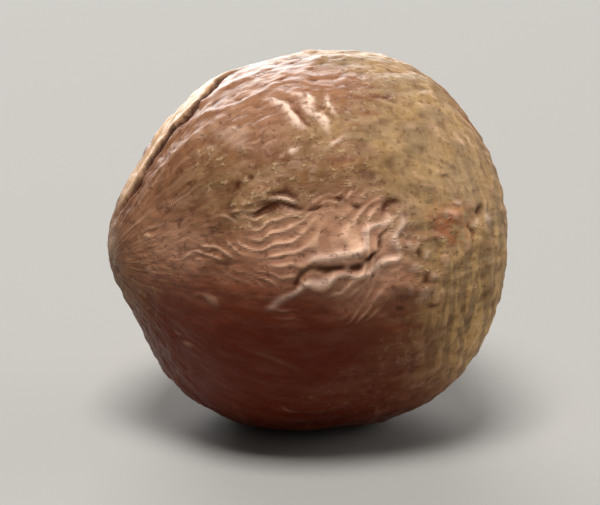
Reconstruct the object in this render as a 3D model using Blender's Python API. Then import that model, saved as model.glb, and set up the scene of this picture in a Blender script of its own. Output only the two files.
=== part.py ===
"""A shelled hazelnut kernel in its brown skin, lying on its side.

The kernel grew as one piece, so it is one solid. Its tip points along -X and its blunt base along +X.
It is blown up from a ball of directions: along each direction stands first the reach of a smooth body,
and then the low relief of the skin. Lengths are in metres and turns in degrees.
"""

import math

import bpy
import numpy as np

# Outline of the smooth body, measured from its widest station
TIP_REACH = 0.0069
BASE_REACH = 0.0081
HALF_WIDTH = 0.00745
HALF_THICKNESS = 0.0074
TIP_FULLNESS = 2.0
BASE_FULLNESS = 2.65

# The beak where the rootlet ends, with its spread in radians, and the scar where the kernel hung
BEAK_HEIGHT = 0.0008
BEAK_SPREAD = 0.34
BEAK_LIFT = 5.0
SCAR_RADIUS = 0.0023
SCAR_DEPTH = 0.0003

# Broad lobes of the seed itself
LOBE_HEIGHT = 0.00014
LOBE_LENGTH = 0.011

# Folds of the dried skin, which run from tip to base and fade where they would crowd at the axis
FOLD_HEIGHT = 0.00012
FOLD_SPACING = 0.0030
FOLD_STRETCH = 0.5
FOLD_RING = 0.0066
FOLD_WANDER = 0.00035
FOLD_WANDER_LENGTH = 0.005
FOLD_SHARPNESS = 0.85
FOLD_FLOOR = 0.5
FOLD_FADE = (0.0020, 0.0058)
FOLD_AREA_LENGTH = 0.006
FOLD_LEAST_SHARE = 0.35

# Thin cork that stays on the skin in patches
CORK_HEIGHT = 0.00010
CORK_LENGTH = 0.0055
CORK_RAGGEDNESS = 0.45
CORK_LEVEL = -0.1
CORK_EDGE = 0.5

# The split in the skin, along the seam from the tip to the top, with offsets measured behind its line:
# a crack that the skin in front sinks towards, and a strip of bare seed
SPLIT_AROUND = 83.0
SPLIT_BEND = 18.0
SPLIT_BEND_ALONG = (-0.64, -0.25)
SPLIT_START = (-0.985, -0.90)
SPLIT_END = (-0.36, -0.12)
CRACK_OFFSET = 0.00010
CRACK_HALF_WIDTH = 0.00024
CRACK_DEPTH = 0.00025
SINK_OFFSET = -0.00035
SINK_WIDTH = 0.00035
SINK_DEPTH = 0.00007
BARE_FROM = 0.00015
BARE_TO = 0.00130
BARE_EDGE = 0.00016
BARE_HEIGHT = 0.00008
BARE_LEAST_SHARE = 0.25

# Places on the kernel: share of the way along the axis (-1 tip, 1 base) and degrees round it
# (0 front, 90 top), with the reach of the patch in radians and how squarely it ends
FOLDED_BAND = (-0.05, 9.0, 0.55, 2)
SMOOTH_CHEEK = (-0.50, -17.0, 0.50, 4)
SMOOTH_BROW = (-0.36, 66.0, 0.45, 2)
CORK_SHOULDER = (0.33, 43.0, 0.55, 2)
CORK_HEEL = (0.62, -30.0, 0.45, 2)
CORK_BASE = (0.95, 10.0, 0.75, 3)
CORK_FREE_CHEEK = (-0.70, 36.0, 0.30, 2)
CHIP = (0.49, 15.0, 0.075, 3)

# What each place adds to the folds' depth and to the cork's cover
FOLD_PLACES = ((FOLDED_BAND, 1.5), (SMOOTH_CHEEK, -2.0))
CORK_PLACES = (
    (CORK_SHOULDER, 1.2),
    (CORK_HEEL, 0.9),
    (CORK_BASE, 0.7),
    (CORK_FREE_CHEEK, -0.5),
    (SMOOTH_CHEEK, -1.5),
    (SMOOTH_BROW, -1.2),
    (FOLDED_BAND, -0.8),
    (CHIP, -1.5),
)

SEEDS = {"lobes": 11, "wander": (1, 2, 3), "folds": 21, "fold areas": 31, "cork": 41}

# How it lies, and how finely it is made
REST_ROLL = -5.0
REST_TILT = -1.0
REST_FLAT_DEPTH = 0.0002
GRID_STEPS = 30

SKIN_COLOUR = (0.23, 0.085, 0.042, 1.0)
SKIN_ROUGHNESS = 0.5


def clear_scene():
    for leftover in list(bpy.data.objects):
        bpy.data.objects.remove(leftover)


def smooth_step(low, high, value):
    """0 below low, 1 above high, and an even curve between them."""
    share = np.clip((value - low) / (high - low), 0.0, 1.0)
    return share * share * (3.0 - 2.0 * share)


def ripples(points, length, seed, count=24):
    """A seeded random swell: plane waves of about that length added up, with a spread of 1."""
    random = np.random.default_rng(seed)
    headings = random.normal(size=(count, 3))
    headings /= np.linalg.norm(headings, axis=1)[:, None]
    turns = headings * (2.0 * math.pi / length) * random.uniform(0.7, 1.3, (count, 1))
    starts = random.uniform(0.0, 2.0 * math.pi, count)
    return np.sin(points @ turns.T + starts).sum(axis=1) * math.sqrt(2.0 / count)


def ball_of_directions(steps):
    """Unit vectors and four-sided faces of a cube's six square grids, blown up to a ball and welded."""
    line = np.tan(np.linspace(-math.pi / 4, math.pi / 4, steps + 1))
    u, v = np.meshgrid(line, line, indexing="ij")
    one = np.ones_like(u)
    sides = [(one, u, v), (-one, v, u), (v, one, u), (u, -one, v), (u, v, one), (v, u, -one)]
    points = np.concatenate([np.stack(side, axis=-1).reshape(-1, 3) for side in sides])
    index = np.arange((steps + 1) ** 2).reshape(steps + 1, steps + 1)
    corners = [index[:-1, :-1], index[1:, :-1], index[1:, 1:], index[:-1, 1:]]
    quads = np.stack(corners, axis=-1).reshape(-1, 4)
    quads = np.concatenate([quads + side * (steps + 1) ** 2 for side in range(len(sides))])
    _, first, welded = np.unique(points.round(6), axis=0, return_index=True, return_inverse=True)
    points = points[first]
    return points / np.linalg.norm(points, axis=1)[:, None], welded.reshape(-1)[quads]


def smooth_body(directions):
    """The outline: a rounded tip half and a fuller base half that meet at the widest station."""
    towards_tip = directions[:, 0] < 0.0
    reach = np.where(towards_tip, TIP_REACH, BASE_REACH)
    fullness = np.where(towards_tip, TIP_FULLNESS, BASE_FULLNESS)
    across = np.hypot(directions[:, 1] / HALF_WIDTH, directions[:, 2] / HALF_THICKNESS)
    along = np.abs(directions[:, 0]) / reach
    length = (along**fullness + across**fullness) ** (-1.0 / fullness)
    lift = math.radians(BEAK_LIFT)
    beak = np.array([-math.cos(lift), 0.0, math.sin(lift)])
    away = np.arccos(np.clip(directions @ beak, -1.0, 1.0))
    length += BEAK_HEIGHT * np.exp(-((away / BEAK_SPREAD) ** 2))
    return directions * length[:, None]


def patch(directions, place):
    """1 at a place on the kernel, falling to 0 past the patch's reach."""
    along, around, reach, squareness = place
    ring = math.sqrt(1.0 - along**2)
    turn = math.radians(around)
    centre = np.array([along, -ring * math.cos(turn), ring * math.sin(turn)])
    away = np.arccos(np.clip(directions @ centre, -1.0, 1.0))
    return np.exp(-((away / reach) ** squareness))


def patches(directions, places):
    """Several weighted patches added up."""
    return sum(weight * patch(directions, place) for place, weight in places)


def axis_distance(body):
    return np.hypot(body[:, 1], body[:, 2])


def lobe_relief(directions, body):
    return LOBE_HEIGHT * ripples(body, LOBE_LENGTH, SEEDS["lobes"])


def fold_relief(directions, body):
    """Narrow ridges along the level lines of a swell that is stretched from tip to base."""
    ring = axis_distance(body)
    around = body[:, 1:] / np.maximum(ring, FOLD_FADE[0])[:, None]
    unrolled = np.column_stack([body[:, 0] * FOLD_STRETCH, around * FOLD_RING])
    wander = np.column_stack([ripples(body, FOLD_WANDER_LENGTH, seed) for seed in SEEDS["wander"]])
    swell = ripples(unrolled + FOLD_WANDER * wander, FOLD_SPACING, SEEDS["folds"])
    ridges = np.exp(-((swell / FOLD_SHARPNESS) ** 2)) - FOLD_FLOOR
    areas = ripples(body, FOLD_AREA_LENGTH, SEEDS["fold areas"]) + patches(directions, FOLD_PLACES)
    share = FOLD_LEAST_SHARE + (1.0 - FOLD_LEAST_SHARE) * smooth_step(-0.6, 1.0, areas)
    return FOLD_HEIGHT * ridges * share * smooth_step(*FOLD_FADE, ring)


def cork_relief(directions, body):
    """A low step up where the swell and the places together pass the cork's level."""
    cover = CORK_LEVEL + CORK_RAGGEDNESS * ripples(body, CORK_LENGTH, SEEDS["cork"])
    cover += patches(directions, CORK_PLACES)
    return CORK_HEIGHT * smooth_step(-CORK_EDGE, CORK_EDGE, cover)


def split_relief(directions, body):
    """The crack and the bare strip behind it, which narrows where the split runs out."""
    along = directions[:, 0]
    around = np.degrees(np.arctan2(directions[:, 2], -directions[:, 1]))
    middle = SPLIT_AROUND + SPLIT_BEND * smooth_step(*SPLIT_BEND_ALONG, along)
    offset = np.radians(around - middle) * axis_distance(body)
    ends = smooth_step(*SPLIT_START, along) * (1.0 - smooth_step(*SPLIT_END, along))
    crack = np.exp(-(((offset - CRACK_OFFSET) / CRACK_HALF_WIDTH) ** 4))
    sink = np.exp(-(((offset - SINK_OFFSET) / SINK_WIDTH) ** 2))
    far = BARE_TO * (BARE_LEAST_SHARE + (1.0 - BARE_LEAST_SHARE) * ends)
    bare = smooth_step(BARE_FROM, BARE_FROM + BARE_EDGE, offset)
    bare = bare * (1.0 - smooth_step(far, far + BARE_EDGE, offset))
    return ends * (BARE_HEIGHT * bare - CRACK_DEPTH * crack - SINK_DEPTH * sink)


def scar_relief(directions, body):
    """A shallow round dish at the base."""
    dish = np.exp(-((axis_distance(body) / SCAR_RADIUS) ** 2))
    return -SCAR_DEPTH * np.where(directions[:, 0] > 0.0, dish, 0.0)


def kernel_points(directions):
    """The smooth body with all of its relief."""
    body = smooth_body(directions)
    reliefs = (lobe_relief, fold_relief, cork_relief, split_relief, scar_relief)
    height = sum(relief(directions, body) for relief in reliefs)
    return body + directions * height[:, None]


def lay_down(points):
    """Rolls and tilts the kernel as it lies, centres it over the origin and flattens its lowest spot."""
    roll, tilt = math.radians(REST_ROLL), math.radians(REST_TILT)
    x, y, z = points.T
    y, z = y * math.cos(roll) - z * math.sin(roll), y * math.sin(roll) + z * math.cos(roll)
    x, z = x * math.cos(tilt) + z * math.sin(tilt), z * math.cos(tilt) - x * math.sin(tilt)
    x -= (x.min() + x.max()) / 2.0
    y -= (y.min() + y.max()) / 2.0
    z = np.maximum(z - z.min() - REST_FLAT_DEPTH, 0.0)
    return np.column_stack([x, y, z])


def skin_material():
    material = bpy.data.materials.new("hazelnut skin")
    material.use_nodes = True
    shader = material.node_tree.nodes["Principled BSDF"]
    shader.inputs["Base Color"].default_value = SKIN_COLOUR
    shader.inputs["Roughness"].default_value = SKIN_ROUGHNESS
    shader.inputs["Metallic"].default_value = 0.0
    return material


def build_kernel():
    directions, quads = ball_of_directions(GRID_STEPS)
    points = lay_down(kernel_points(directions))
    mesh = bpy.data.meshes.new("kernel")
    mesh.from_pydata(points.tolist(), [], quads.tolist())
    mesh.shade_smooth()
    mesh.materials.append(skin_material())
    kernel = bpy.data.objects.new("kernel", mesh)
    bpy.context.scene.collection.objects.link(kernel)


clear_scene()
build_kernel()
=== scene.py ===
import math

import bpy
import numpy as np
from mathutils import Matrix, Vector


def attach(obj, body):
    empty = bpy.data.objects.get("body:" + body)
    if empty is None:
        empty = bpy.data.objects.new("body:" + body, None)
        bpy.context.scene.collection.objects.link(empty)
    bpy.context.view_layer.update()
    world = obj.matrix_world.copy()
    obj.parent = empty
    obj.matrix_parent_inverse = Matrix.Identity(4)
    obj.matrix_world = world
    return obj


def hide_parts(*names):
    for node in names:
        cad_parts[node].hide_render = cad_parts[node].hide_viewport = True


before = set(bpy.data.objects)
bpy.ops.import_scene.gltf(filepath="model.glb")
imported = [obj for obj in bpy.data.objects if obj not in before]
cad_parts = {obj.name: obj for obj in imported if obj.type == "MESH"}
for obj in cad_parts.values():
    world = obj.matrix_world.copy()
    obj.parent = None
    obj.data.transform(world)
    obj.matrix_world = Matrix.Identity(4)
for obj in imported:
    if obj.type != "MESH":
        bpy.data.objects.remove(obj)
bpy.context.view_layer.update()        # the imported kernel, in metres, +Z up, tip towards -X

perMetre = 1000.0  # millimetres


# Shared tools for shapes

def smoothStep(low, high, value):  # 0 below low, 1 above high, an even curve between
    share = np.clip((value - low) / (high - low), 0.0, 1.0)
    return share * share * (3.0 - 2.0 * share)


def ripples(points, length, seed, count=24):  # plane waves of about that length, added to a spread of 1
    random = np.random.default_rng(seed)
    headings = random.normal(size=(count, 3))
    headings /= np.linalg.norm(headings, axis=1)[:, None]
    turns = headings * (2.0 * math.pi / length) * random.uniform(0.7, 1.3, (count, 1))
    starts = random.uniform(0.0, 2.0 * math.pi, count)
    return np.sin(points @ turns.T + starts).sum(axis=1) * math.sqrt(2.0 / count)


def ridge(swell, sharpness):  # 1 on the swell's zero lines, 0 away from them
    return np.exp(-((swell / sharpness) ** 2))


def ballOfDirections(steps):
    # six square grids of a cube, spaced by the tangent, blown up to a ball and welded
    line = np.tan(np.linspace(-math.pi / 4, math.pi / 4, steps + 1))
    u, v = np.meshgrid(line, line, indexing="ij")
    one = np.ones_like(u)
    sides = [(one, u, v), (-one, v, u), (v, one, u), (u, -one, v), (u, v, one), (v, u, -one)]
    points = np.concatenate([np.stack(side, axis=-1).reshape(-1, 3) for side in sides])
    index = np.arange((steps + 1) ** 2).reshape(steps + 1, steps + 1)
    corners = [index[:-1, :-1], index[1:, :-1], index[1:, 1:], index[:-1, 1:]]
    quads = np.stack(corners, axis=-1).reshape(-1, 4)
    quads = np.concatenate([quads + side * (steps + 1) ** 2 for side in range(len(sides))])
    _, first, welded = np.unique(points.round(6), axis=0, return_index=True, return_inverse=True)
    points = points[first]
    return points / np.linalg.norm(points, axis=1)[:, None], welded.reshape(-1)[quads]


def patch(directions, place):
    # place: share along the axis (-1 tip, 1 base), degrees round it (0 front, 90 top), reach in
    # radians, squareness; 1 in the middle, falling to 0 past the reach
    along, around, reach, squareness = place
    ring = math.sqrt(1.0 - along**2)
    turn = math.radians(around)
    centre = np.array([along, -ring * math.cos(turn), ring * math.sin(turn)])
    away = np.arccos(np.clip(directions @ centre, -1.0, 1.0))
    return np.exp(-((away / reach) ** squareness))


def weighted(directions, names):
    # the named places' patches, each times its weight, added up
    return sum(weight * patch(directions, places[name]) for name, weight in names)


# The kernel's form: the same outline and folds as the solid, in metres

kernelForm = {
    "tipReach": 0.0069, "baseReach": 0.0081,
    "halfWidth": 0.00745, "halfThickness": 0.0074,
    "tipFullness": 2.0, "baseFullness": 2.65,
    "beakHeight": 0.0008, "beakSpread": 0.34, "beakLift": 5.0,
    "scarRadius": 0.0023, "scarDepth": 0.0003,
    "lobeHeight": 0.00014, "lobeLength": 0.011, "lobeSeed": 11,
    "roll": -5.0, "tilt": -1.0, "flatDepth": 0.0002,
    "gridSteps": 128,
}

places = {
    # share along the axis, degrees round it, reach and squareness, as patch takes them
    "foldedBand": (-0.05, 9.0, 0.55, 2),
    "smoothCheek": (-0.50, -17.0, 0.50, 4),
    "smoothBrow": (-0.36, 66.0, 0.45, 2),
    "orangeBrow": (-0.45, 66.0, 0.42, 2),
    "corkShoulder": (0.33, 43.0, 0.55, 2),
    "corkHeel": (0.66, -28.0, 0.50, 2),
    "corkBase": (0.95, 10.0, 0.75, 3),
    "corkFreeCheek": (-0.70, 36.0, 0.30, 2),
    # the dark lower half and its right end, painted partly as shade in the material
    "darkCheek": (-0.35, -60.0, 1.04, 9),
    "darkRight": (0.20, -20.0, 0.30, 4),
    "bandTip": (-0.80, 12.0, 0.26, 2),
    "bandMiddle": (-0.30, 13.0, 0.26, 3),
    "bandRight": (0.12, 12.0, 0.28, 3),
    "bandCentre": (0.02, 13.5, 0.17, 2),
    # the left of the cheek, painted darker: partly darker skin, partly painted shade
    "duskyCheek": (-0.72, 34.0, 0.32, 2),
    # the band's right end, painted paler: painted light
    "paleRight": (0.14, 8.0, 0.24, 2),
    "oliveMiddle": (-0.14, 34.0, 0.24, 2),
    "oliveRight": (0.22, 32.0, 0.22, 2),
    "oliveLeft": (-0.50, 36.0, 0.26, 2),
    "greyLeft": (-0.62, 47.0, 0.24, 2),
    "greyTop": (0.02, 50.0, 0.26, 2),
    "bandLeft": (-0.62, 18.0, 0.26, 2),
    "chip": (0.52, 15.0, 0.065, 3),
    "chipStain": (0.56, 14.5, 0.11, 2),
    "corkCorner": (0.72, 76.0, 0.42, 2),
    "corkRim": (0.86, 2.0, 0.42, 2),
}


def fromBeak(directions):
    # the angle from the beak's middle, in radians
    lift = math.radians(kernelForm["beakLift"])
    middle = np.array([-math.cos(lift), 0.0, math.sin(lift)])
    return np.arccos(np.clip(directions @ middle, -1.0, 1.0))


def smoothBody(directions):
    # superellipse in the axis distance and the ring distance, fuller on the base side, plus a beak
    form = kernelForm
    towardsTip = directions[:, 0] < 0.0
    reach = np.where(towardsTip, form["tipReach"], form["baseReach"])
    fullness = np.where(towardsTip, form["tipFullness"], form["baseFullness"])
    across = np.hypot(directions[:, 1] / form["halfWidth"], directions[:, 2] / form["halfThickness"])
    along = np.abs(directions[:, 0]) / reach
    length = (along**fullness + across**fullness) ** (-1.0 / fullness)
    length += form["beakHeight"] * np.exp(-((fromBeak(directions) / form["beakSpread"]) ** 2))
    return directions * length[:, None]


def axisDistance(body):
    return np.hypot(body[:, 1], body[:, 2])


folds = {
    "height": 0.00012, "spacing": 0.0030, "stretch": 0.5, "ring": 0.0066,
    "wander": 0.00035, "wanderLength": 0.005, "wanderSeeds": (1, 2, 3), "seed": 21,
    "sharpness": 0.85, "floor": 0.5, "fade": (0.0020, 0.0058),
    "areaLength": 0.006, "areaSeed": 31, "areaEdges": (-0.6, 1.0), "leastShare": 0.35,
    "places": (("foldedBand", 1.5), ("smoothCheek", -2.0)),
}


def foldRelief(directions, body):
    # ridges on the zero lines of a swell stretched from tip to base, deeper in some areas
    ring = axisDistance(body)
    around = body[:, 1:] / np.maximum(ring, folds["fade"][0])[:, None]
    unrolled = np.column_stack([body[:, 0] * folds["stretch"], around * folds["ring"]])
    wander = np.column_stack([ripples(body, folds["wanderLength"], seed) for seed in folds["wanderSeeds"]])
    swell = ripples(unrolled + folds["wander"] * wander, folds["spacing"], folds["seed"])
    ridges = ridge(swell, folds["sharpness"]) - folds["floor"]
    areas = ripples(body, folds["areaLength"], folds["areaSeed"])
    areas += weighted(directions, folds["places"])
    share = folds["leastShare"] + (1.0 - folds["leastShare"]) * smoothStep(*folds["areaEdges"], areas)
    return folds["height"] * ridges * share * smoothStep(*folds["fade"], ring)


split = {
    "around": 83.0, "bend": 18.0, "bendAlong": (-0.64, -0.25),
    "start": (-0.985, -0.90), "end": (-0.36, -0.12),
    "wavers": ((0.00008, 0.0022, 71), (0.00003, 0.0007, 72)),
    "crackAt": 0.00010, "halfWidth": 0.00018, "depth": 0.00025, "ragged": (0.40, 0.0009, 73),
    "sinkAt": -0.00035, "sinkWidth": 0.00035, "sink": 0.00007,
    "bareFrom": 0.00015, "bareTo": 0.00130, "edge": 0.00016, "bareHeight": 0.00008, "leastShare": 0.25,
    # the torn edge behind: its own raggedness (size, length, seed) and the width of its dark lip
    "torn": ((0.00016, 0.0026, 78), (0.00005, 0.0008, 79)), "lipWidth": 0.00010,
}


def splitOffset(directions, body):
    # distance behind the split's line, in metres, and 1 along its length with tapered ends
    along = directions[:, 0]
    around = np.degrees(np.arctan2(directions[:, 2], -directions[:, 1]))
    middle = split["around"] + split["bend"] * smoothStep(*split["bendAlong"], along)
    offset = np.radians(around - middle) * axisDistance(body)
    offset += sum(size * ripples(body, length, seed) for size, length, seed in split["wavers"])
    ends = smoothStep(*split["start"], along) * (1.0 - smoothStep(*split["end"], along))
    return offset, ends


def crackMask(offset, ends, body, wider, squareness):
    # 1 in the crack, whose width comes and goes along it
    share, length, seed = split["ragged"]
    halfWidth = split["halfWidth"] * wider * (1.0 + share * ripples(body, length, seed))
    return ends * np.exp(-(((offset - split["crackAt"]) / halfWidth) ** squareness))


def tornEdge(ends, body):
    # how far behind the line the bare strip reaches, less where the split runs out
    reach = split["bareTo"] * (split["leastShare"] + (1.0 - split["leastShare"]) * ends)
    return reach + sum(size * ripples(body, length, seed) for size, length, seed in split["torn"])


def bareStrip(offset, ends, body):
    # 1 between the crack and the torn edge behind it
    far, near = tornEdge(ends, body), split["bareFrom"]
    return (ends * smoothStep(near, near + split["edge"], offset)
            * (1.0 - smoothStep(far, far + split["edge"], offset)))


def tornLip(offset, ends, body):
    # 1 on the rim of the skin along the torn edge, which the material darkens
    away = (offset - tornEdge(ends, body) - split["edge"]) / split["lipWidth"]
    return ends * np.exp(-(away**2))


def splitRelief(directions, body):
    # a crack that the skin in front sinks towards, and behind it the bare seed, standing a little proud
    offset, ends = splitOffset(directions, body)
    sink = ends * np.exp(-(((offset - split["sinkAt"]) / split["sinkWidth"]) ** 2))
    crack = crackMask(offset, ends, body, wider=1.0, squareness=4)
    bare = bareStrip(offset, ends, body)
    return split["bareHeight"] * bare - split["depth"] * crack - split["sink"] * sink


def scarRelief(directions, body):
    dish = np.exp(-((axisDistance(body) / kernelForm["scarRadius"]) ** 2))
    return -kernelForm["scarDepth"] * np.where(directions[:, 0] > 0.0, dish, 0.0)


cork = {
    "height": 0.00010, "length": 0.0055, "raggedness": 0.45, "seed": 41, "level": -0.1, "edge": 0.5,
    "grits": ((0.000010, 0.00036, 51), (0.000018, 0.00085, 52)), "gritWaves": 60,
    "places": (("corkShoulder", 1.2), ("corkHeel", 1.2), ("corkBase", 0.7), ("corkFreeCheek", -0.5),
               ("smoothCheek", -1.5), ("smoothBrow", -1.2), ("foldedBand", -0.8), ("chip", -1.5)),
    # a stain of cork too thin to feel
    "stains": (("greyLeft", 0.7), ("greyTop", 1.1), ("bandLeft", -0.9), ("corkCorner", 0.8),
               ("corkRim", 1.0)),
}


def corkCover(directions, body):
    # the swell and the places added up: cork lies where this is above 0
    cover = cork["level"] + cork["raggedness"] * ripples(body, cork["length"], cork["seed"])
    return cover + weighted(directions, cork["places"])


skinRing = {"arcRadius": 0.0075, "stretch": 0.6, "radius": 0.0068}


def skinCoordinates(directions, lengthwise=1.0, around=1.0):
    # arc from the tip, and the turn round the axis as a point on a ring of fixed radius, so that
    # lines drawn in them run from tip to base and close up round the kernel
    arc = np.arccos(np.clip(-directions[:, 0], -1.0, 1.0)) * skinRing["arcRadius"]
    ring = np.maximum(np.hypot(directions[:, 1], directions[:, 2]), 1e-6)[:, None]
    turn = directions[:, 1:] / ring * skinRing["radius"]
    return np.column_stack([arc * lengthwise, turn * around])


wrinkles = {
    # lines round the axis, and the axis distances between which they fade in and fade out
    "rings": ((106, (0.0060, 0.0068), None), (56, (0.0034, 0.0042), (0.0060, 0.0068)),
              (26, (0.0012, 0.0020), (0.0034, 0.0042))),
    "height": 0.000034, "power": 2.0, "floor": 0.35, "leastShare": 0.10,
    # fewer and higher lines at the right end of the band, where they climb by that many degrees
    "coarseCount": 78, "coarseHigher": 0.8, "climb": 9.0, "climbAlong": (-0.04, 0.26),
    # size in line spacings, length in metres, seed: each bends neighbouring lines together
    "wavers": ((1.5, 0.0095, 61), (0.50, 0.0036, 62), (0.34, 0.0018, 63), (0.12, 0.0009, 68)),
    "waverAround": 0.62,
    "breakLength": 0.0012, "breakLengthwise": 0.40, "breakSeed": 64, "breakSize": 1.25, "breakWaves": 40,
    # the leathery net between the lines, less of it on the cheek and among strong lines
    "creases": ((0.000022, 0.00105, 65), (0.000014, 0.00058, 66)), "creaseSharpness": 0.30,
    "pebbles": (0.000012, 0.00070, 69), "leatherWaves": 48, "cheekShare": 0.35, "leatherLoss": 0.4,
    "areaLength": 0.0045, "areaSeed": 67, "areaSize": 0.5, "areaLevel": -1.9, "areaEdges": (-0.7, 1.9),
    "places": (("bandTip", 1.2), ("bandMiddle", 3.0), ("bandRight", 3.0), ("bandCentre", 2.0),
               ("foldedBand", 0.4), ("darkCheek", -0.9), ("greyLeft", -1.8)),
}


def lengthwisePhase(directions, count, wavers, waverAround):
    # the turn round the axis times a whole count, pushed about by swells that vary along the lines
    phase = count * np.arctan2(directions[:, 2], directions[:, 1])
    along = skinCoordinates(directions, 1.0, waverAround)
    return phase + 2.0 * math.pi * sum(size * ripples(along, length, seed) for size, length, seed in wavers)


def wrinkleStrength(directions, body):
    # 0 to 1: strong in the folded band, coming and going along each line
    swell = ripples(body, wrinkles["areaLength"], wrinkles["areaSeed"])
    areas = wrinkles["areaLevel"] + wrinkles["areaSize"] * swell
    areas += weighted(directions, wrinkles["places"])
    stretched = skinCoordinates(directions, wrinkles["breakLengthwise"])
    breaks = ripples(stretched, wrinkles["breakLength"], wrinkles["breakSeed"], wrinkles["breakWaves"])
    areas += wrinkles["breakSize"] * breaks
    return smoothStep(*wrinkles["areaEdges"], areas)


def wrinklePhase(directions, count):
    # the lengthwise phase, with the climb of the lines at the right end of the band
    climb = math.radians(wrinkles["climb"]) * smoothStep(*wrinkles["climbAlong"], directions[:, 0])
    return lengthwisePhase(directions, count, wrinkles["wavers"], wrinkles["waverAround"]) + count * climb


def wrinkleWave(directions, body):
    # cosine of the lines' phase: fewer lines near the ends, where they would crowd
    ring = axisDistance(body)
    wave = 0.0
    for count, fadeIn, fadeOut in wrinkles["rings"]:
        share = smoothStep(*fadeIn, ring)
        if fadeOut:
            share = share * (1.0 - smoothStep(*fadeOut, ring))
        wave = wave + share * np.cos(wrinklePhase(directions, count))
    coarse = patch(directions, places["bandRight"])
    return wave + coarse * (np.cos(wrinklePhase(directions, wrinkles["coarseCount"])) - wave)


def wrinkleRelief(directions, body, wave, strength):
    # wavy lengthwise ridges that come and go, over a leathery net of creases and low pebbles
    lines = (0.5 + 0.5 * wave) ** wrinkles["power"] - wrinkles["floor"]
    higher = 1.0 + wrinkles["coarseHigher"] * patch(directions, places["bandRight"])
    leather, waves = 0.0, wrinkles["leatherWaves"]
    stretched = skinCoordinates(directions, skinRing["stretch"])
    for depth, length, seed in wrinkles["creases"]:
        net = ripples(stretched, length, seed, waves)
        leather = leather - depth * ridge(net, wrinkles["creaseSharpness"])
    size, length, seed = wrinkles["pebbles"]
    leather = leather + size * ripples(body, length, seed, waves)
    smooth = 1.0 - (1.0 - wrinkles["cheekShare"]) * patch(directions, places["darkCheek"])
    share = wrinkles["leastShare"] * smooth + (1.0 - wrinkles["leastShare"]) * strength
    lines = wrinkles["height"] * higher * lines * share
    return lines + leather * (1.0 - wrinkles["leatherLoss"] * strength) * smooth


veins = {
    "count": 13, "height": 0.000022, "thinness": 0.028, "fade": (0.0038, 0.0056),
    "wavers": ((0.40, 0.012, 75), (0.05, 0.003, 76)),
    "breakLength": 0.0050, "breakSeed": 77, "breakWaves": 40, "breakEdges": (-0.4, 0.8), "moreAtBase": 0.9,
}


def veinMask(directions, body):
    # thin lengthwise strands, more of them on the base side, that fade out before both ends
    phase = lengthwisePhase(directions, veins["count"], veins["wavers"], 1.0)
    strands = np.exp(-(1.0 - np.cos(phase)) / veins["thinness"])
    kept = ripples(body, veins["breakLength"], veins["breakSeed"], veins["breakWaves"])
    kept += veins["moreAtBase"] * directions[:, 0]
    return strands * smoothStep(*veins["breakEdges"], kept) * smoothStep(*veins["fade"], axisDistance(body))


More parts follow.
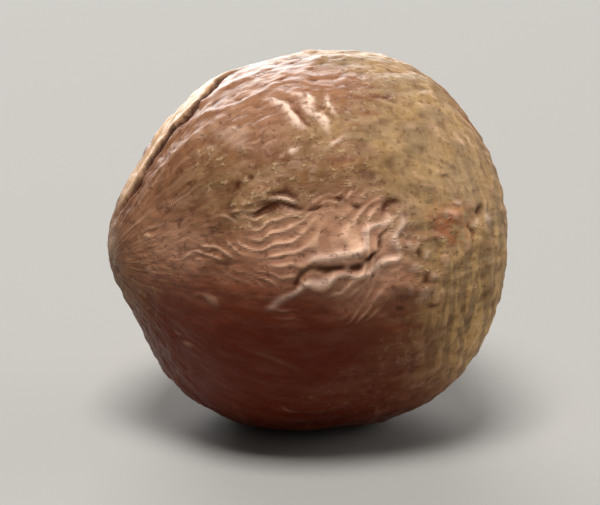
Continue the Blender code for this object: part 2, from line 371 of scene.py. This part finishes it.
strokes = {
    # single folds and grooves that stand out on the front, each with its place (share along the axis,
    # degrees round it), half length and half width in mm, slant in degrees and height in mm
    "topPinch": ((-0.14, 59.0, 1.10, 0.15, -68.0, 0.075), (-0.08, 58.0, 0.95, 0.12, -72.0, -0.080),
                 (-0.03, 61.0, 1.05, 0.13, -66.0, 0.070), (0.02, 54.0, 0.80, 0.11, -78.0, 0.050),
                 (0.10, 60.0, 0.60, 0.14, -84.0, 0.065), (0.06, 58.0, 0.55, 0.11, -80.0, -0.060),
                 (-0.17, 43.0, 0.20, 0.13, 0.0, 0.050), (0.07, 44.0, 0.50, 0.11, 35.0, 0.045)),
    "browFolds": ((-0.45, 57.0, 0.95, 0.19, -60.0, 0.028), (-0.53, 56.0, 0.90, 0.16, -58.0, -0.030),
                  (-0.58, 65.0, 0.60, 0.16, -62.0, 0.018)),
    "bandTop": ((-0.31, 24.5, 0.95, 0.13, -5.0, -0.120), (-0.27, 26.7, 0.45, 0.11, 2.0, 0.070),
                (-0.27, 28.6, 0.45, 0.11, 4.0, -0.090), (-0.12, 24.0, 0.26, 0.12, 12.0, -0.110),
                (0.02, 26.5, 0.18, 0.12, 20.0, -0.080), (0.11, 24.5, 0.22, 0.12, -30.0, -0.080),
                (0.28, 22.5, 0.42, 0.13, 10.0, -0.090), (-0.41, 38.0, 0.12, 0.12, 0.0, -0.080),
                (-0.48, 36.5, 0.14, 0.12, 20.0, -0.070)),
    # two long crests that climb to the right, in pieces from left to right, and the grooves beside them
    "upperCrest": ((-0.06, 9.0, 0.85, 0.13, 0.0, 0.100), (0.11, 13.0, 0.70, 0.13, 49.0, 0.100),
                   (0.215, 18.0, 0.38, 0.12, 21.0, 0.080)),
    "lowerCrest": ((-0.34, -4.5, 0.58, 0.12, 36.0, 0.035), (-0.19, 0.5, 0.76, 0.13, 26.0, 0.070),
                   (-0.025, 2.0, 0.60, 0.12, -13.0, 0.070), (0.12, 2.5, 0.58, 0.13, 20.0, 0.080),
                   (0.23, 6.0, 0.42, 0.13, 41.0, 0.080), (0.30, 13.5, 0.76, 0.13, 73.0, 0.070)),
    "troughs": ((-0.085, 5.6, 0.66, 0.13, -6.0, -0.130), (-0.22, 3.6, 0.50, 0.12, 44.0, -0.100),
                (0.06, 5.2, 0.24, 0.12, 20.0, -0.100), (0.14, 8.0, 0.28, 0.13, 30.0, -0.110),
                (0.22, 12.5, 0.48, 0.12, 60.0, -0.080)),
    "chipEdge": ((0.65, 12.5, 0.24, 0.13, -60.0, -0.090), (0.70, 19.5, 0.24, 0.12, 0.0, -0.070),
                 (0.60, 22.0, 0.16, 0.12, 0.0, 0.060), (0.56, 18.0, 0.30, 0.12, -45.0, 0.060),
                 (0.66, 16.0, 0.26, 0.12, 60.0, 0.060), (0.74, 16.0, 0.20, 0.13, 0.0, 0.050)),
    "knobs": ((0.37, 9.0, 0.15, 0.15, 70.0, 0.042), (0.44, 6.0, 0.17, 0.13, 80.0, 0.040),
              (0.37, 2.5, 0.18, 0.14, 60.0, 0.040), (0.46, -0.5, 0.17, 0.13, 90.0, 0.034),
              (0.34, -4.5, 0.20, 0.13, 100.0, 0.028), (0.41, -6.0, 0.22, 0.13, 75.0, 0.026),
              (0.40, 5.5, 0.13, 0.13, 0.0, -0.070), (0.42, -1.5, 0.18, 0.12, 80.0, -0.070),
              (0.30, -9.0, 0.16, 0.12, 0.0, -0.070), (0.46, -9.5, 0.20, 0.12, 10.0, -0.060)),
    # the kernel's radius there and the strokes' wander (size, length, seed), in metres
    "radius": 0.0074, "waver": (0.00012, 0.0012, 81),
}

drawnFolds = ("browFolds", "bandTop", "upperCrest", "lowerCrest", "troughs", "chipEdge", "knobs")


def strokeRelief(directions, body, group):
    # each stroke: a Gaussian across its line and a flat-topped one along it, in the plane that
    # touches the kernel at the stroke's middle
    size, length, seed = strokes["waver"]
    waver = size * ripples(body, length, seed)
    total = 0.0
    for along, around, halfLength, halfWidth, slant, height in strokes[group]:
        ring, turn, lean = math.sqrt(1.0 - along**2), math.radians(around), math.radians(slant)
        centre = np.array([along, -ring * math.cos(turn), ring * math.sin(turn)])
        lengthwise = np.array([ring, along * math.cos(turn), -along * math.sin(turn)])
        upwards = np.array([0.0, math.sin(turn), math.cos(turn)])
        line = lengthwise * math.cos(lean) + upwards * math.sin(lean)
        across = upwards * math.cos(lean) - lengthwise * math.sin(lean)
        u = directions @ line * strokes["radius"] * perMetre / halfLength
        v = (directions @ across * strokes["radius"] + waver) * perMetre / halfWidth
        total = total + height / perMetre * np.exp(-(u**4) - v**2) * (directions @ centre > 0.0)
    return total


def layDown(points, guide):
    # rolls and tilts the points as the solid lies, and moves them by what sets the guide in its place
    roll, tilt = math.radians(kernelForm["roll"]), math.radians(kernelForm["tilt"])

    def turned(p):
        x, y, z = p.T
        y, z = y * math.cos(roll) - z * math.sin(roll), y * math.sin(roll) + z * math.cos(roll)
        x, z = x * math.cos(tilt) + z * math.sin(tilt), z * math.cos(tilt) - x * math.sin(tilt)
        return np.column_stack([x, y, z])

    guide = turned(guide)
    low, high = guide.min(axis=0), guide.max(axis=0)
    shift = np.array([(low[0] + high[0]) / 2.0, (low[1] + high[1]) / 2.0, low[2] + kernelForm["flatDepth"]])
    laid = turned(points) - shift
    laid[:, 2] = np.maximum(laid[:, 2], 0.0)
    return laid


def setAttribute(mesh, name, values, kind="FLOAT", field="value"):
    layer = mesh.attributes.new(name, kind, "POINT")
    layer.data.foreach_set(field, np.ascontiguousarray(values, dtype=np.float32).ravel())


def linkMesh(name, points, faces):
    mesh = bpy.data.meshes.new(name)
    mesh.from_pydata(points.tolist(), [], faces.tolist())
    mesh.shade_smooth()
    piece = bpy.data.objects.new(name, mesh)
    bpy.context.scene.collection.objects.link(piece)
    return piece


marks = {
    # how shapes become the masks that the material reads: the shares of the single folds that count as
    # relief, the heights in metres that fill a mask, and the masks' reaches and edges
    "drawnShare": 0.5, "pinchShare": 0.6, "reliefHeight": 0.00016,
    "raisedHeight": 0.00006, "groovedHeight": 0.00007, "coverSpan": 3.0,
    # the crack is drawn wider and squarer for the painted shade in the gap
    "crackWider": 1.25, "crackSquareness": 8, "beakReach": 0.09,
    "baseEdges": (0.0, 0.2), "scarSquareness": 4,
    # the band, which the material paints lighter: partly its own pinkish tan and partly painted light
    "band": (("bandTip", 1.0), ("bandMiddle", 1.0), ("bandRight", 1.0)),
}

placeMasks = {
    # each mask is the strongest of its places, which have these shares
    # the cheek: its deep red is partly the skin's own colour and partly painted shade on the lower half
    "cheek": (("darkCheek", 1.0), ("darkRight", 0.75)),
    "brow": (("orangeBrow", 1.0),),
    # the heel: its own cork threads, and darker cork painted over it as shade
    "heel": (("corkHeel", 1.0),),
    # dusk: partly the skin's own darker brown, partly painted shade that holds down the back lamp there
    "dusk": (("duskyCheek", 1.0),),
    "chip": (("chipStain", 1.0),),
    # the pale patch at the band's right end is painted light
    "pale": (("paleRight", 1.0),),
    "olive": (("oliveMiddle", 1.0), ("oliveRight", 0.6), ("oliveLeft", 0.7)),
}


def filled(value, full):  # 0 up to 0, 1 from the full height on
    return np.clip(value / full, 0.0, 1.0)


def formMasks(directions, body):
    # masks of the split, the beak, the scar and the named places
    offset, ends = splitOffset(directions, body)
    scar = np.exp(-((axisDistance(body) / kernelForm["scarRadius"]) ** marks["scarSquareness"]))
    masks = {
        "bare": bareStrip(offset, ends, body),
        "lip": tornLip(offset, ends, body),
        "crack": crackMask(offset, ends, body, marks["crackWider"], marks["crackSquareness"]),
        "beak": np.exp(-((fromBeak(directions) / marks["beakReach"]) ** 2)),
        "scar": smoothStep(*marks["baseEdges"], directions[:, 0]) * scar,
        "band": np.minimum(weighted(directions, marks["band"]), 1.0),
    }
    for mask, shares in placeMasks.items():
        masks[mask] = np.maximum.reduce([share * patch(directions, places[name]) for name, share in shares])
    return masks


def buildKernel():
    form = kernelForm
    directions, quads = ballOfDirections(form["gridSteps"])
    body = smoothBody(directions)
    cover = corkCover(directions, body)
    stained = cover + weighted(directions, cork["stains"])
    film = smoothStep(-cork["edge"], cork["edge"], cover)
    strands = veinMask(directions, body)
    wave, strength = wrinkleWave(directions, body), wrinkleStrength(directions, body)
    broad = form["lobeHeight"] * ripples(body, form["lobeLength"], form["lobeSeed"])
    broad += foldRelief(directions, body) + cork["height"] * film
    broad += splitRelief(directions, body) + scarRelief(directions, body)
    fine = wrinkleRelief(directions, body, wave, strength) + veins["height"] * strands
    waves = cork["gritWaves"]
    fine += film * sum(size * ripples(body, length, seed, waves) for size, length, seed in cork["grits"])
    pinch = strokeRelief(directions, body, "topPinch")
    drawn = sum(strokeRelief(directions, body, group) for group in drawnFolds)
    guide = body + directions * broad[:, None]
    points = layDown(guide + directions * (fine + drawn + pinch)[:, None], guide)

    kernel = linkMesh("kernelSkin", points, quads)
    relief = fine + marks["drawnShare"] * drawn + marks["pinchShare"] * pinch
    masks = {
        "cover": np.clip(0.5 + stained / marks["coverSpan"], 0.0, 1.0),
        # relief, raised, grooved and pinch also drive painted colour: highlight on heights, shade in
        # hollows and grooves
        "relief": np.clip(0.5 + relief / marks["reliefHeight"], 0.0, 1.0),
        "raised": filled(drawn, marks["raisedHeight"]),
        "grooved": filled(-drawn, marks["groovedHeight"]),
        "pinch": filled(pinch, marks["raisedHeight"]),
        "wrinkled": strength,
        "wave": wave,
        "vein": strands,
    }
    masks.update(formMasks(directions, body))
    for name, values in masks.items():
        setAttribute(kernel.data, name, values)
    grain = perMetre * skinCoordinates(directions, skinRing["stretch"])
    setAttribute(kernel.data, "grain", grain, "FLOAT_VECTOR", "vector")
    return kernel


# Materials

def hexColour(code):  # sRGB hex to linear RGBA
    parts = [int(code[i:i + 2], 16) / 255.0 for i in (1, 3, 5)]
    return [p / 12.92 if p <= 0.04045 else ((p + 0.055) / 1.055) ** 2.4 for p in parts] + [1.0]


def addNode(tree, kind, inputs=(), **settings):
    # one node: its settings, then each input as a value or as a link from another node's output
    node = tree.nodes.new(kind)
    for name, value in settings.items():
        setattr(node, name, value)
    for name, value in dict(inputs).items():
        if isinstance(value, bpy.types.NodeSocket):
            tree.links.new(value, node.inputs[name])
        else:
            node.inputs[name].default_value = value
    return node


skinFinish = {
    # seed coat of a dried hazelnut: thin, papery and faintly waxed, so a broken satin shine
    # deepRed: the skin's own red-brown, darkened further as painted shade on the lower half
    "deepRed": "#601C0B", "brown": "#875A3D", "russet": "#6A412C", "orange": "#916548",
    # band: partly its own pinkish tan, partly painted light; dusk: partly darker skin, partly painted shade
    # the pale crest colour: partly wear, partly painted highlight; gloss: a painted highlight
    "band": "#C08C70", "wornAndLit": "#DDB090", "glossHighlight": "#F0CFB8", "dusk": "#553418", "olive": "#644828",
    # hollow and groove: painted shade in hollows, creases, pits and grooves
    "hollowShade": "#45221A", "grooveShade": "#43200F", "vein": "#A98763", "chip": "#9E5A34",
    # corky remains of the shell's lining: dry, matte, olive tan to grey, thin enough for the skin to show
    # corkDark also paints shade over the heel, besides the cork's own dark specks
    "corkTan": "#A08257", "corkGrey": "#8F7858", "corkDark": "#7D5823", "flake": "#D2B48C",
    "straw": "#CFA566",
    # bare seed, where the skin is torn: pale cream
    "bare": "#CFA985", "bareDark": "#A57C57",
    # crack: painted shade in the gap
    "lip": "#4A2414", "crack": "#33140B", "beak": "#B59677", "scar": "#9A7850",
    # the shine: satin skin, rougher cork, a weak warm highlight and a faint sheen on the rims
    "skinRoughness": 0.38, "corkRoughness": 0.55, "roughnessMottle": 0.12, "refraction": 1.45,
    "highlight": 0.15, "highlightTint": "#FFE0C8",
    "sheen": 0.05, "sheenRoughness": 0.25, "sheenTint": "#F2D9BE",
}

skinTextures = {
    # noise: its coordinates, size in mm, detail, roughness, and the values that are spread to 0 and 1
    "blotch": ("plain", 3.0, 4.0, 0.55, (0.36, 0.64)),
    "mottle": ("plain", 0.8, 4.0, 0.6, (0.36, 0.64)),
    "streak": ("fibrous", 0.45, 4.0, 0.6, (0.42, 0.66)),
    "pit": ("plain", 0.30, 3.0, 0.6, (0.46, 0.30)),
    "fibre": ("fibrous", 0.14, 3.0, 0.65, None),
    "crumb": ("plain", 0.09, 2.0, 0.6, None),
    "corkPatch": ("plain", 1.2, 4.0, 0.6, (0.38, 0.62)),
    "corkSpeck": ("plain", 0.25, 2.0, 0.55, (0.56, 0.72)),
    "fray": ("fibrous", 0.5, 5.0, 0.7, None),
    "thread": ("crosswise", 0.32, 2.0, 0.5, (0.45, 0.60)),
    "flakeSpeck": ("plain", 0.33, 2.0, 0.5, (0.56, 0.66)),
    "glossBreakup": ("plain", 0.3, 3.0, 0.55, (0.40, 0.58)),
    "chipSpeck": ("plain", 0.5, 3.0, 0.6, (0.40, 0.56)),
    "flesh": ("fibrous", 0.5, 4.0, 0.6, (0.40, 0.62)),
    "push": ("grain", 0.7, 2.0, 0.5, None),
}

skinMixing = {
    # stretch of the grain's coordinates, along and round the kernel: fibres along it, threads across
    "fibrous": (0.4, 1.0, 1.0), "crosswise": (1.6, 0.16, 0.16),
    # thin crests on the wrinkles: the higher, the thinner
    "crestPower": 3.0,
    # pebbles: spacing and push in mm, softness, the distances that a crease spans, its loss on the heel
    "pebble": 0.45, "pebblePush": 0.45, "pebbleSoftness": 0.35, "creaseEdges": (0.25, 0.65),
    "creaseLoss": 0.8,
    # cork: how far its edge frays, where it covers, and its loss on the cheek and the brow
    "fray": 1.1, "frayMottle": 0.12, "filmEdges": (0.36, 0.90), "filmShare": 0.85,
    "cheekBald": 0.92, "browBald": 0.6,
    # flakes: where on the frayed edge, how fast they thin out from there, and how they set in
    "flakeMiddle": 0.60, "flakeFall": 7.0, "flakeEdges": (0.0, 0.6),
    # crests paler, partly wear, partly painted highlight; hollows as painted shade; the part of the relief
    # each takes
    "crestWearAndHighlight": 0.75, "reliefWearAndHighlight": 0.30, "highRelief": (0.58, 0.95),
    "sunkCrease": 0.18, "sunkPit": 0.42, "sunkRelief": 0.72, "sunkUnderCork": 0.3,
    "lowRelief": (0.46, 0.08),
    # the least and the full share of the olive stain and of the painted gloss highlight on the pinch
    "oliveShares": (0.55, 0.85), "glossShares": (0.2, 0.8),
    # the dark cheek is painted as in shade and plainer: how far it loses light, and the shares of rubbing
    # and painted highlight, of painted shade in hollows and of heights, with no light and with all of it
    "cheekLoss": 0.75, "cheekWearAndHighlight": (0.2, 1.0), "cheekSunk": (0.4, 1.0), "cheekHeight": (0.25, 1.0),
}


skinLayers = {
    # colours laid over one another: the mask, the share that it covers at most, the colour's name
    # the dusk layer: partly darker skin, partly painted shade
    "skin": (("brow", 0.80, "orange"), ("mottle", 0.35, "orange"), ("dusk", 0.95, "dusk"),
             # the band and pale layers: partly paler skin, partly painted light
             # the cheek layer: partly the skin's deep red, partly painted shade
             ("band", 0.60, "band"), ("cheek", 0.96, "deepRed"), ("pale", 0.22, "wornAndLit"),
             ("paleStreak", 0.16, "wornAndLit")),
    # the heel layer of darker cork: painted shade on the lower right
    "cork": (("heel", 0.20, "corkDark"), ("corkSpeck", 0.45, "corkDark"), ("thread", 0.15, "flake"),
             ("heelThread", 0.75, "straw")),
    "flesh": (("flesh", 0.60, "bareDark"),),
    # the crest layer: partly wear, partly painted highlight; the sunk and grooved layers: painted shade
    "surface": (("oliveStain", 1.0, "olive"), ("paleFlake", 0.28, "flake"), ("rubbedAndLit", 1.0, "wornAndLit"),
                # the gloss layers on the pinch and on raised strokes: a painted highlight
                ("glossy", 1.0, "glossHighlight"), ("raised", 0.50, "glossHighlight"), ("sunkShade", 1.0, "hollowShade"),
                ("grooved", 0.90, "grooveShade"), ("vein", 0.25, "vein"), ("chipStain", 0.70, "chip"),
                ("bare", 0.94, "flesh"), ("scar", 0.60, "scar"), ("beak", 0.60, "beak"),
                # the crack layer: painted shade in the gap
                ("lip", 0.55, "lip"), ("crack", 0.95, "crack")),
}

skinHeights = {
    # heights of the fine relief, in millimetres
    "crest": 0.040, "crease": -0.020, "pit": -0.016, "fibre": 0.016, "crumb": 0.005, "flake": 0.026,
    "heelThread": 0.016, "mottle": 0.012,
}


def skinMaterial():
    material = bpy.data.materials.new("dried seed coat with cork")
    material.use_nodes = True
    tree = material.node_tree
    tree.nodes.clear()
    mixing = skinMixing
    colours = {name: hexColour(code) for name, code in skinFinish.items() if isinstance(code, str)}

    def masked(name, output="Fac"):  # what the mesh carries under that name
        return addNode(tree, "ShaderNodeAttribute", attribute_name=name).outputs[output]

    def mixed(factor, a, b):
        return addNode(tree, "ShaderNodeMix", {0: factor, 6: a, 7: b}, data_type="RGBA").outputs[2]

    def maths(operation, a, b=0.0):
        return addNode(tree, "ShaderNodeMath", {0: a, 1: b}, operation=operation).outputs[0]

    def times(a, b):
        return maths("MULTIPLY", a, b)

    def plus(a, b):
        return maths("ADD", a, b)

    def minus(a, b):
        return maths("SUBTRACT", a, b)

    def between(low, high, share):  # low at share 0, high at share 1
        return plus(times(share, high - low), low)

    def swing(value, size):  # from half the size below 0 to half of it above
        return times(minus(value, 0.5), size)

    def vectors(operation, a, b):  # a scale takes its number in the last of the four inputs
        slot = 3 if operation == "SCALE" else 1
        return addNode(tree, "ShaderNodeVectorMath", {0: a, slot: b}, operation=operation).outputs[0]

    def ramped(value, low, high):
        return addNode(tree, "ShaderNodeMapRange", {0: value, 1: low, 2: high},
                       interpolation_type="SMOOTHSTEP").outputs[0]

    def layered(colour, group):
        for mask, share, name in skinLayers[group]:
            colour = mixed(times(masks[mask], share), colour, colours[name])
        return colour

    where = addNode(tree, "ShaderNodeTexCoord").outputs["Object"]
    grain = masked("grain", "Vector")
    coordinates = {"plain": vectors("SCALE", where, perMetre), "grain": grain,
                   "fibrous": vectors("MULTIPLY", grain, mixing["fibrous"]),
                   "crosswise": vectors("MULTIPLY", grain, mixing["crosswise"])}

    def texture(name, output="Fac"):
        space, size, detail, rough, edges = skinTextures[name]
        value = addNode(tree, "ShaderNodeTexNoise", {"Vector": coordinates[space], "Scale": 1.0 / size,
                                                     "Detail": detail, "Roughness": rough}).outputs[output]
        return ramped(value, *edges) if edges else value

    carried = ("brow", "cheek", "heel", "dusk", "band", "pale", "raised", "grooved", "vein",
               "bare", "scar", "beak", "lip", "crack")
    masks = {name: masked(name) for name in carried}
    for name in ("mottle", "thread", "pit", "fibre", "crumb", "corkSpeck", "flesh"):
        masks[name] = texture(name)
    # light: lower on the cheek, which is painted as in shade, so that its pale marks and painted highlight
    # fade
    light = minus(1.0, times(masks["cheek"], mixing["cheekLoss"]))
    masks["paleStreak"] = times(texture("streak"), light)
    masks["heelThread"] = times(masks["thread"], masks["heel"])
    # crests of the lengthwise wrinkles, from the wave that the mesh carries
    line = maths("POWER", between(0.5, 1.0, masked("wave")), mixing["crestPower"])
    masks["crest"] = times(line, masked("wrinkled"))
    # pebbles, lower between them, pushed about so that no two are alike
    pushed = vectors("ADD", grain, vectors("SCALE", texture("push", "Color"), mixing["pebblePush"]))
    cells = addNode(tree, "ShaderNodeTexVoronoi", {"Vector": pushed, "Scale": 1.0 / mixing["pebble"],
                                                   "Smoothness": mixing["pebbleSoftness"]},
                    feature="SMOOTH_F1").outputs["Distance"]
    offHeel = minus(1.0, times(masks["heel"], mixing["creaseLoss"]))
    masks["crease"] = times(ramped(cells, *mixing["creaseEdges"]), offHeel)

    # the film of cork, its edge frayed along the grain, and the flakes that lift where it frays out
    frayed = plus(masked("cover"), swing(texture("fray"), mixing["fray"]))
    frayed = plus(frayed, swing(masks["mottle"], mixing["frayMottle"]))
    bald = maths("MAXIMUM", times(masks["cheek"], mixing["cheekBald"]),
                 times(masks["brow"], mixing["browBald"]))
    film = times(times(ramped(frayed, *mixing["filmEdges"]), mixing["filmShare"]), minus(1.0, bald))
    away = maths("ABSOLUTE", times(minus(frayed, mixing["flakeMiddle"]), mixing["flakeFall"]))
    masks["flake"] = times(ramped(minus(1.0, away), *mixing["flakeEdges"]), texture("flakeSpeck"))
    masks["paleFlake"] = times(masks["flake"], light)
    masks["oliveStain"] = times(masked("olive"), between(*mixing["oliveShares"], masks["mottle"]))
    masks["chipStain"] = times(masked("chip"), texture("chipSpeck"))

    # crests painted paler, partly wear and partly painted highlight; hollows, creases and pits painted
    # shade
    relief = masked("relief")
    rubbedAndLit = plus(times(masks["crest"], mixing["crestWearAndHighlight"]),
                  times(ramped(relief, *mixing["highRelief"]), mixing["reliefWearAndHighlight"]))
    masks["rubbedAndLit"] = times(rubbedAndLit, between(*mixing["cheekWearAndHighlight"], light))
    # a pale gloss painted on the pinched folds: a painted highlight, broken up by noise
    masks["glossy"] = times(masked("pinch"), between(*mixing["glossShares"], texture("glossBreakup")))
    shallow = plus(times(masks["crease"], mixing["sunkCrease"]), times(masks["pit"], mixing["sunkPit"]))
    deep = times(ramped(relief, *mixing["lowRelief"]),
                 minus(mixing["sunkRelief"], times(film, mixing["sunkUnderCork"])))
    masks["sunkShade"] = times(maths("MAXIMUM", shallow, deep), between(*mixing["cheekSunk"], light))

    skin = layered(mixed(texture("blotch"), colours["russet"], colours["brown"]), "skin")
    corky = layered(mixed(texture("corkPatch"), colours["corkTan"], colours["corkGrey"]), "cork")
    colours["flesh"] = layered(colours["bare"], "flesh")
    surface = layered(mixed(film, skin, corky), "surface")

    height = 0.0
    for name, size in skinHeights.items():
        height = plus(times(masks[name], size), height)
    height = times(height, between(*mixing["cheekHeight"], light))
    bump = addNode(tree, "ShaderNodeBump", {"Height": height, "Strength": 1.0, "Distance": 1.0 / perMetre})
    roughness = between(skinFinish["skinRoughness"], skinFinish["corkRoughness"], film)
    roughness = plus(roughness, swing(masks["mottle"], skinFinish["roughnessMottle"]))
    shader = addNode(tree, "ShaderNodeBsdfPrincipled", {
        "Base Color": surface, "Roughness": roughness, "Normal": bump.outputs["Normal"],
        "IOR": skinFinish["refraction"], "Specular IOR Level": skinFinish["highlight"],
        "Specular Tint": colours["highlightTint"], "Sheen Weight": skinFinish["sheen"],
        "Sheen Roughness": skinFinish["sheenRoughness"], "Sheen Tint": colours["sheenTint"],
    })
    addNode(tree, "ShaderNodeOutputMaterial", {"Surface": shader.outputs[0]})
    return material


# The kernel, dressed

kernel = buildKernel()
kernel.data.materials.append(skinMaterial())
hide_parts("kernel")
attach(kernel, "root")
print("kernel skin:", len(kernel.data.polygons), "quads")


# Floor, light and camera

studio = {
    "floor": "#8F8C87", "floorRoughness": 0.9, "floorSize": 4.0, "worldStrength": 0.13,
    # place in metres, side of the lamp, and power in watts
    "softboxes": {"overhead softbox": ((-0.05, -0.09, 0.41), 0.17, 2.6),
                  "back softbox": ((0.04, 0.41, 0.12), 0.30, 2.6),
                  "side softbox": ((0.38, -0.02, 0.09), 0.25, 0.65)},
    "viewAzimuth": -15.0, "viewElevation": 18.0, "viewDistance": 0.25, "lens": 375.0,
    "aim": (0.0, 0.0, 0.0070), "clipStart": 0.001,
}


def buildStudio():
    half = studio["floorSize"] / 2.0
    corners = np.array([[-half, -half, 0.0], [half, -half, 0.0], [half, half, 0.0], [-half, half, 0.0]])
    floor = linkMesh("floor", corners, np.array([[0, 1, 2, 3]]))
    paint = bpy.data.materials.new("matte white card")
    paint.use_nodes = True
    shader = paint.node_tree.nodes["Principled BSDF"]
    shader.inputs["Base Color"].default_value = hexColour(studio["floor"])
    shader.inputs["Roughness"].default_value = studio["floorRoughness"]
    floor.data.materials.append(paint)

    world = bpy.data.worlds.new("soft white room")
    world.use_nodes = True
    world.node_tree.nodes["Background"].inputs["Color"].default_value = (1.0, 1.0, 1.0, 1.0)
    world.node_tree.nodes["Background"].inputs["Strength"].default_value = studio["worldStrength"]
    bpy.context.scene.world = world

    for name, (place, side, power) in studio["softboxes"].items():
        lamp = bpy.data.lights.new(name, "AREA")
        lamp.shape = "SQUARE"
        lamp.size = side
        lamp.energy = power
        box = bpy.data.objects.new(name, lamp)
        box.location = place
        box.rotation_euler = (Vector(place) - Vector(studio["aim"])).to_track_quat("Z", "Y").to_euler()
        bpy.context.scene.collection.objects.link(box)


def buildCamera():
    turn, rise = math.radians(studio["viewAzimuth"]), math.radians(studio["viewElevation"])
    back = Vector((math.sin(turn) * math.cos(rise), -math.cos(turn) * math.cos(rise), math.sin(rise)))
    lens = bpy.data.cameras.new("camera")
    lens.lens = studio["lens"]
    lens.clip_start = studio["clipStart"]
    camera = bpy.data.objects.new("camera", lens)
    camera.location = Vector(studio["aim"]) + back * studio["viewDistance"]
    camera.rotation_euler = back.to_track_quat("Z", "Y").to_euler()
    bpy.context.scene.collection.objects.link(camera)
    bpy.context.scene.camera = camera


buildStudio()
buildCamera()
bpy.context.scene.view_settings.view_transform = "Standard"
print("studio ready")

bpy.context.view_layer.update()
